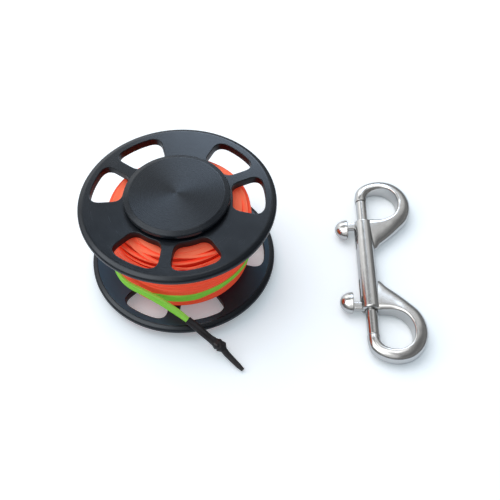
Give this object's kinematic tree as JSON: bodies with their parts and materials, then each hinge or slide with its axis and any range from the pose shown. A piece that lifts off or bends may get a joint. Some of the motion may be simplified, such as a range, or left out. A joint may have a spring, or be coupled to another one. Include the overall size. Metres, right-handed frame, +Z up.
{
  "type": "finger spool",
  "caption": "Diver's finger spool: windowed flanges with wound flat line turn on bearings between two round grip discs, with a doubled line end in a sleeve and a double-ended bolt snap.",
  "frame": {"origin": "middle of the lower grip disc's outer face, on the surface that the spool stands on", "axes": "+Z up along the spindle; +X from the spool towards the bolt snap; +Y away from the end of the line's tail, roughly along the snap's barrel"},
  "size_m": [0.1437, 0.0977, 0.0466],
  "materials": {
    "anodised": "black anodised, turned",
    "line": "flat braided polyester line, orange",
    "marker": "flat braided polyester line, green",
    "sleeve": "heat-shrunk polyolefin, black",
    "polished": "polished stainless steel casting",
    "steel": "ground stainless steel",
    "nylon": "moulded nylon"
  },
  "bodies": {
    "handle": {"spindle": "steel", "upper_grip_disc": "anodised", "lower_grip_disc": "anodised", "spacer_sleeve": "steel", "upper_bearing_inner_ring": "steel", "lower_bearing_inner_ring": "steel", "snap_body": "polished", "snap_spring_far": "steel", "snap_spring_near": "steel"},
    "spool": {"upper_flange": "anodised", "lower_flange": "anodised", "hub_tube": "anodised", "upper_flange_screw_1": "steel", "upper_flange_screw_2": "steel", "upper_flange_screw_3": "steel", "lower_flange_screw_1": "steel", "lower_flange_screw_2": "steel", "lower_flange_screw_3": "steel", "upper_bearing_outer_ring": "steel", "lower_bearing_outer_ring": "steel", "line_core": "line", "line_turns": "line", "marker_wrap": "marker", "marker_tail": "marker", "tail_sleeve": "sleeve"},
    "upper_cage": {"upper_bearing_cage": "nylon", "upper_bearing_ball_1": "steel", "upper_bearing_ball_2": "steel", "upper_bearing_ball_3": "steel", "upper_bearing_ball_4": "steel", "upper_bearing_ball_5": "steel", "upper_bearing_ball_6": "steel", "upper_bearing_ball_7": "steel"},
    "lower_cage": {"lower_bearing_cage": "nylon", "lower_bearing_ball_1": "steel", "lower_bearing_ball_2": "steel", "lower_bearing_ball_3": "steel", "lower_bearing_ball_4": "steel", "lower_bearing_ball_5": "steel", "lower_bearing_ball_6": "steel", "lower_bearing_ball_7": "steel"},
    "far_bolt": {"snap_bolt_far": "polished", "snap_knob_far": "polished"},
    "near_bolt": {"snap_bolt_near": "polished", "snap_knob_near": "polished"}
  },
  "joints": [
    {"name": "spool_spin", "type": "hinge", "parent": "handle", "child": "spool", "pos_m": [0, 0, 0.0233], "axis": [0, 0, 1], "continuous": true},
    {"name": "upper_cage_spin", "type": "hinge", "parent": "handle", "child": "upper_cage", "pos_m": [0, 0, 0.0359], "axis": [0, 0, 1], "continuous": true},
    {"name": "lower_cage_spin", "type": "hinge", "parent": "handle", "child": "lower_cage", "pos_m": [0, 0, 0.0107], "axis": [0, 0, 1], "continuous": true},
    {"name": "far_bolt_slide", "type": "slide", "parent": "handle", "child": "far_bolt", "axis": [-0.0127, -0.9999, 0], "range_m": [0, 0.01135], "stiffness_N_per_m": 300, "springref_m": -0.004, "deforming": ["snap_spring_far"]},
    {"name": "near_bolt_slide", "type": "slide", "parent": "handle", "child": "near_bolt", "axis": [0.0127, 0.9999, 0], "range_m": [0, 0.01135], "stiffness_N_per_m": 300, "springref_m": -0.004, "deforming": ["snap_spring_near"]}
  ],
  "couplings": [
    {"joint": "upper_cage_spin", "follows": "spool_spin", "ratio": 0.632},
    {"joint": "lower_cage_spin", "follows": "spool_spin", "ratio": 0.632}
  ]
}
